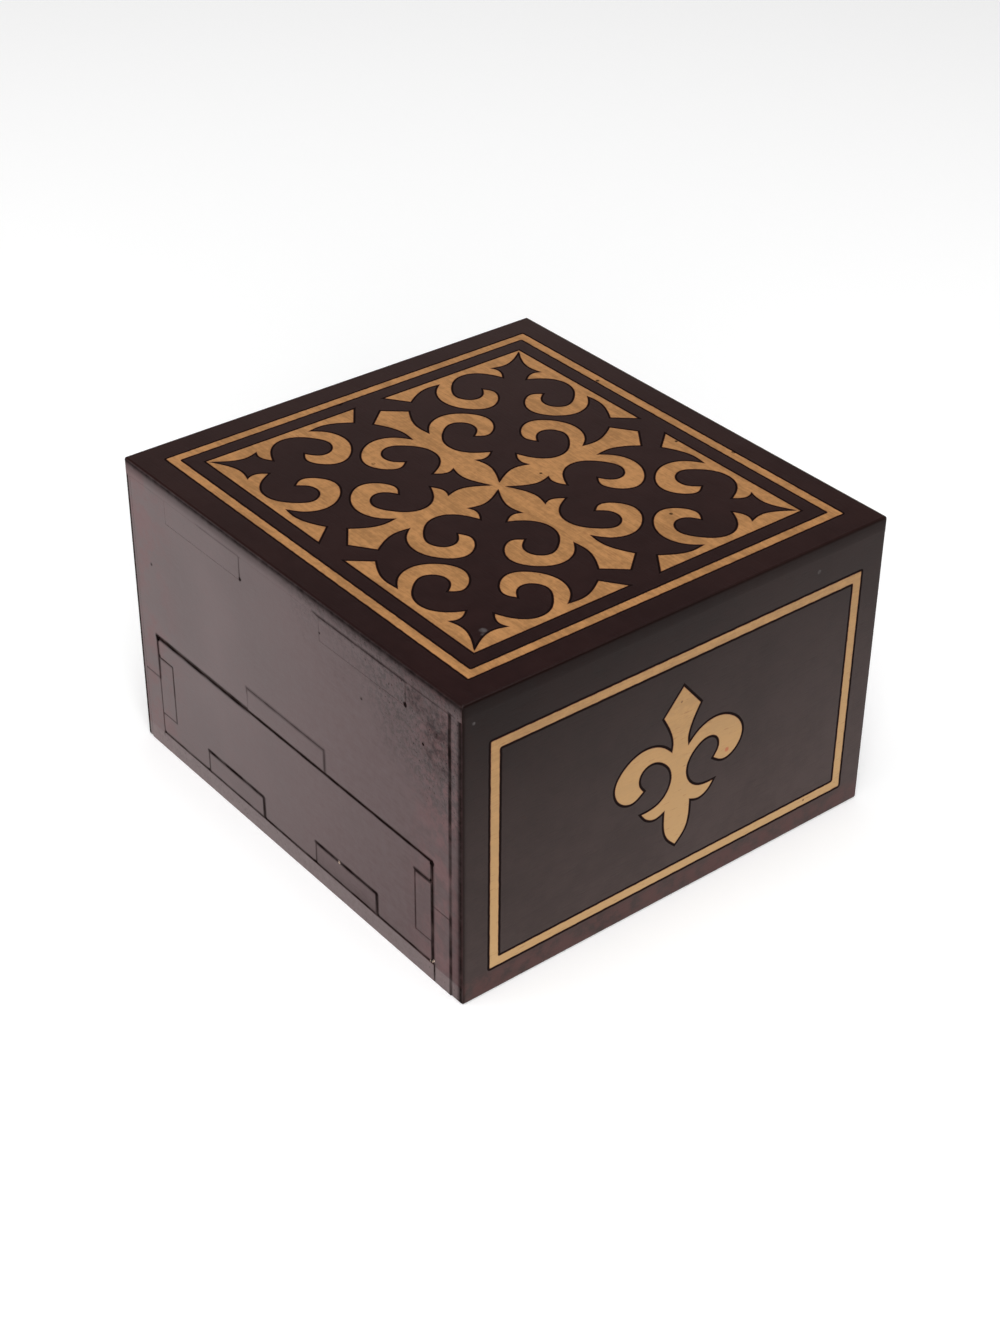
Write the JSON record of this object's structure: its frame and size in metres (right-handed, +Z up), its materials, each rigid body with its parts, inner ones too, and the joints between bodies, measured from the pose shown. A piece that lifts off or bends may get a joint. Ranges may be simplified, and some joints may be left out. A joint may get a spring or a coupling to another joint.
{
  "type": "magic drawer box",
  "caption": "Small lacquered tabletop box with fleur-de-lis inlays and a flush drawer; a hidden floor lever holds back its inner tray.",
  "frame": {"origin": "middle of the underside", "axes": "+Z up, -Y towards the drawer front, +X towards the side with the single flower"},
  "size_m": [0.1, 0.0942, 0.0616],
  "materials": {
    "lacquer_top": "satin dark brown lacquer",
    "lacquer_side": "satin dark brown lacquer",
    "lacquer_front": "satin dark brown paint over finger-jointed plywood",
    "raw_plywood": "thinly stained plywood",
    "tray_wood": "matt dark stain",
    "light_inlay": "satin clear coat",
    "steel": "dull"
  },
  "bodies": {
    "casing": {"front_panel": "lacquer_front", "back_panel": "lacquer_front", "left_wall": "raw_plywood", "right_wall": "raw_plywood", "floor_panel": "lacquer_front", "divider": "lacquer_front", "ceiling_panel": "lacquer_front", "top_cladding": "lacquer_top", "right_cladding": "lacquer_side", "left_cladding": "lacquer_side", "lever_axle": "steel", "top_ring_inlay": "light_inlay", "top_fleur_cross": "light_inlay", "top_front_left_fleurs": "light_inlay", "top_front_right_fleurs": "light_inlay", "top_back_left_fleurs": "light_inlay", "top_back_right_fleurs": "light_inlay", "right_ring_inlay": "light_inlay", "right_fleur_inlay": "light_inlay", "left_ring_inlay": "light_inlay", "left_fleur_inlay": "light_inlay"},
    "tray": {"tray_bottom": "tray_wood", "tray_front": "tray_wood", "tray_back": "tray_wood", "tray_left_side": "tray_wood", "tray_right_side": "tray_wood"},
    "drawer": {"drawer_front": "lacquer_front", "drawer_left_side": "lacquer_front", "drawer_right_side": "lacquer_front", "drawer_bottom": "lacquer_front"},
    "catch": {"catch_lever": "steel", "catch_pin": "steel"}
  },
  "joints": [
    {"name": "tray_slide", "type": "slide", "parent": "casing", "child": "tray", "axis": [0, -1, 0], "range_m": [0, 0.072]},
    {"name": "drawer_slide", "type": "slide", "parent": "tray", "child": "drawer", "axis": [0, -1, 0], "range_m": [0, 0.072]},
    {"name": "catch_press", "type": "hinge", "parent": "casing", "child": "catch", "pos_m": [-0.0008, -0.012, 0.002], "axis": [1, 0, 0], "range_deg": [0, 2.2]}
  ]
}
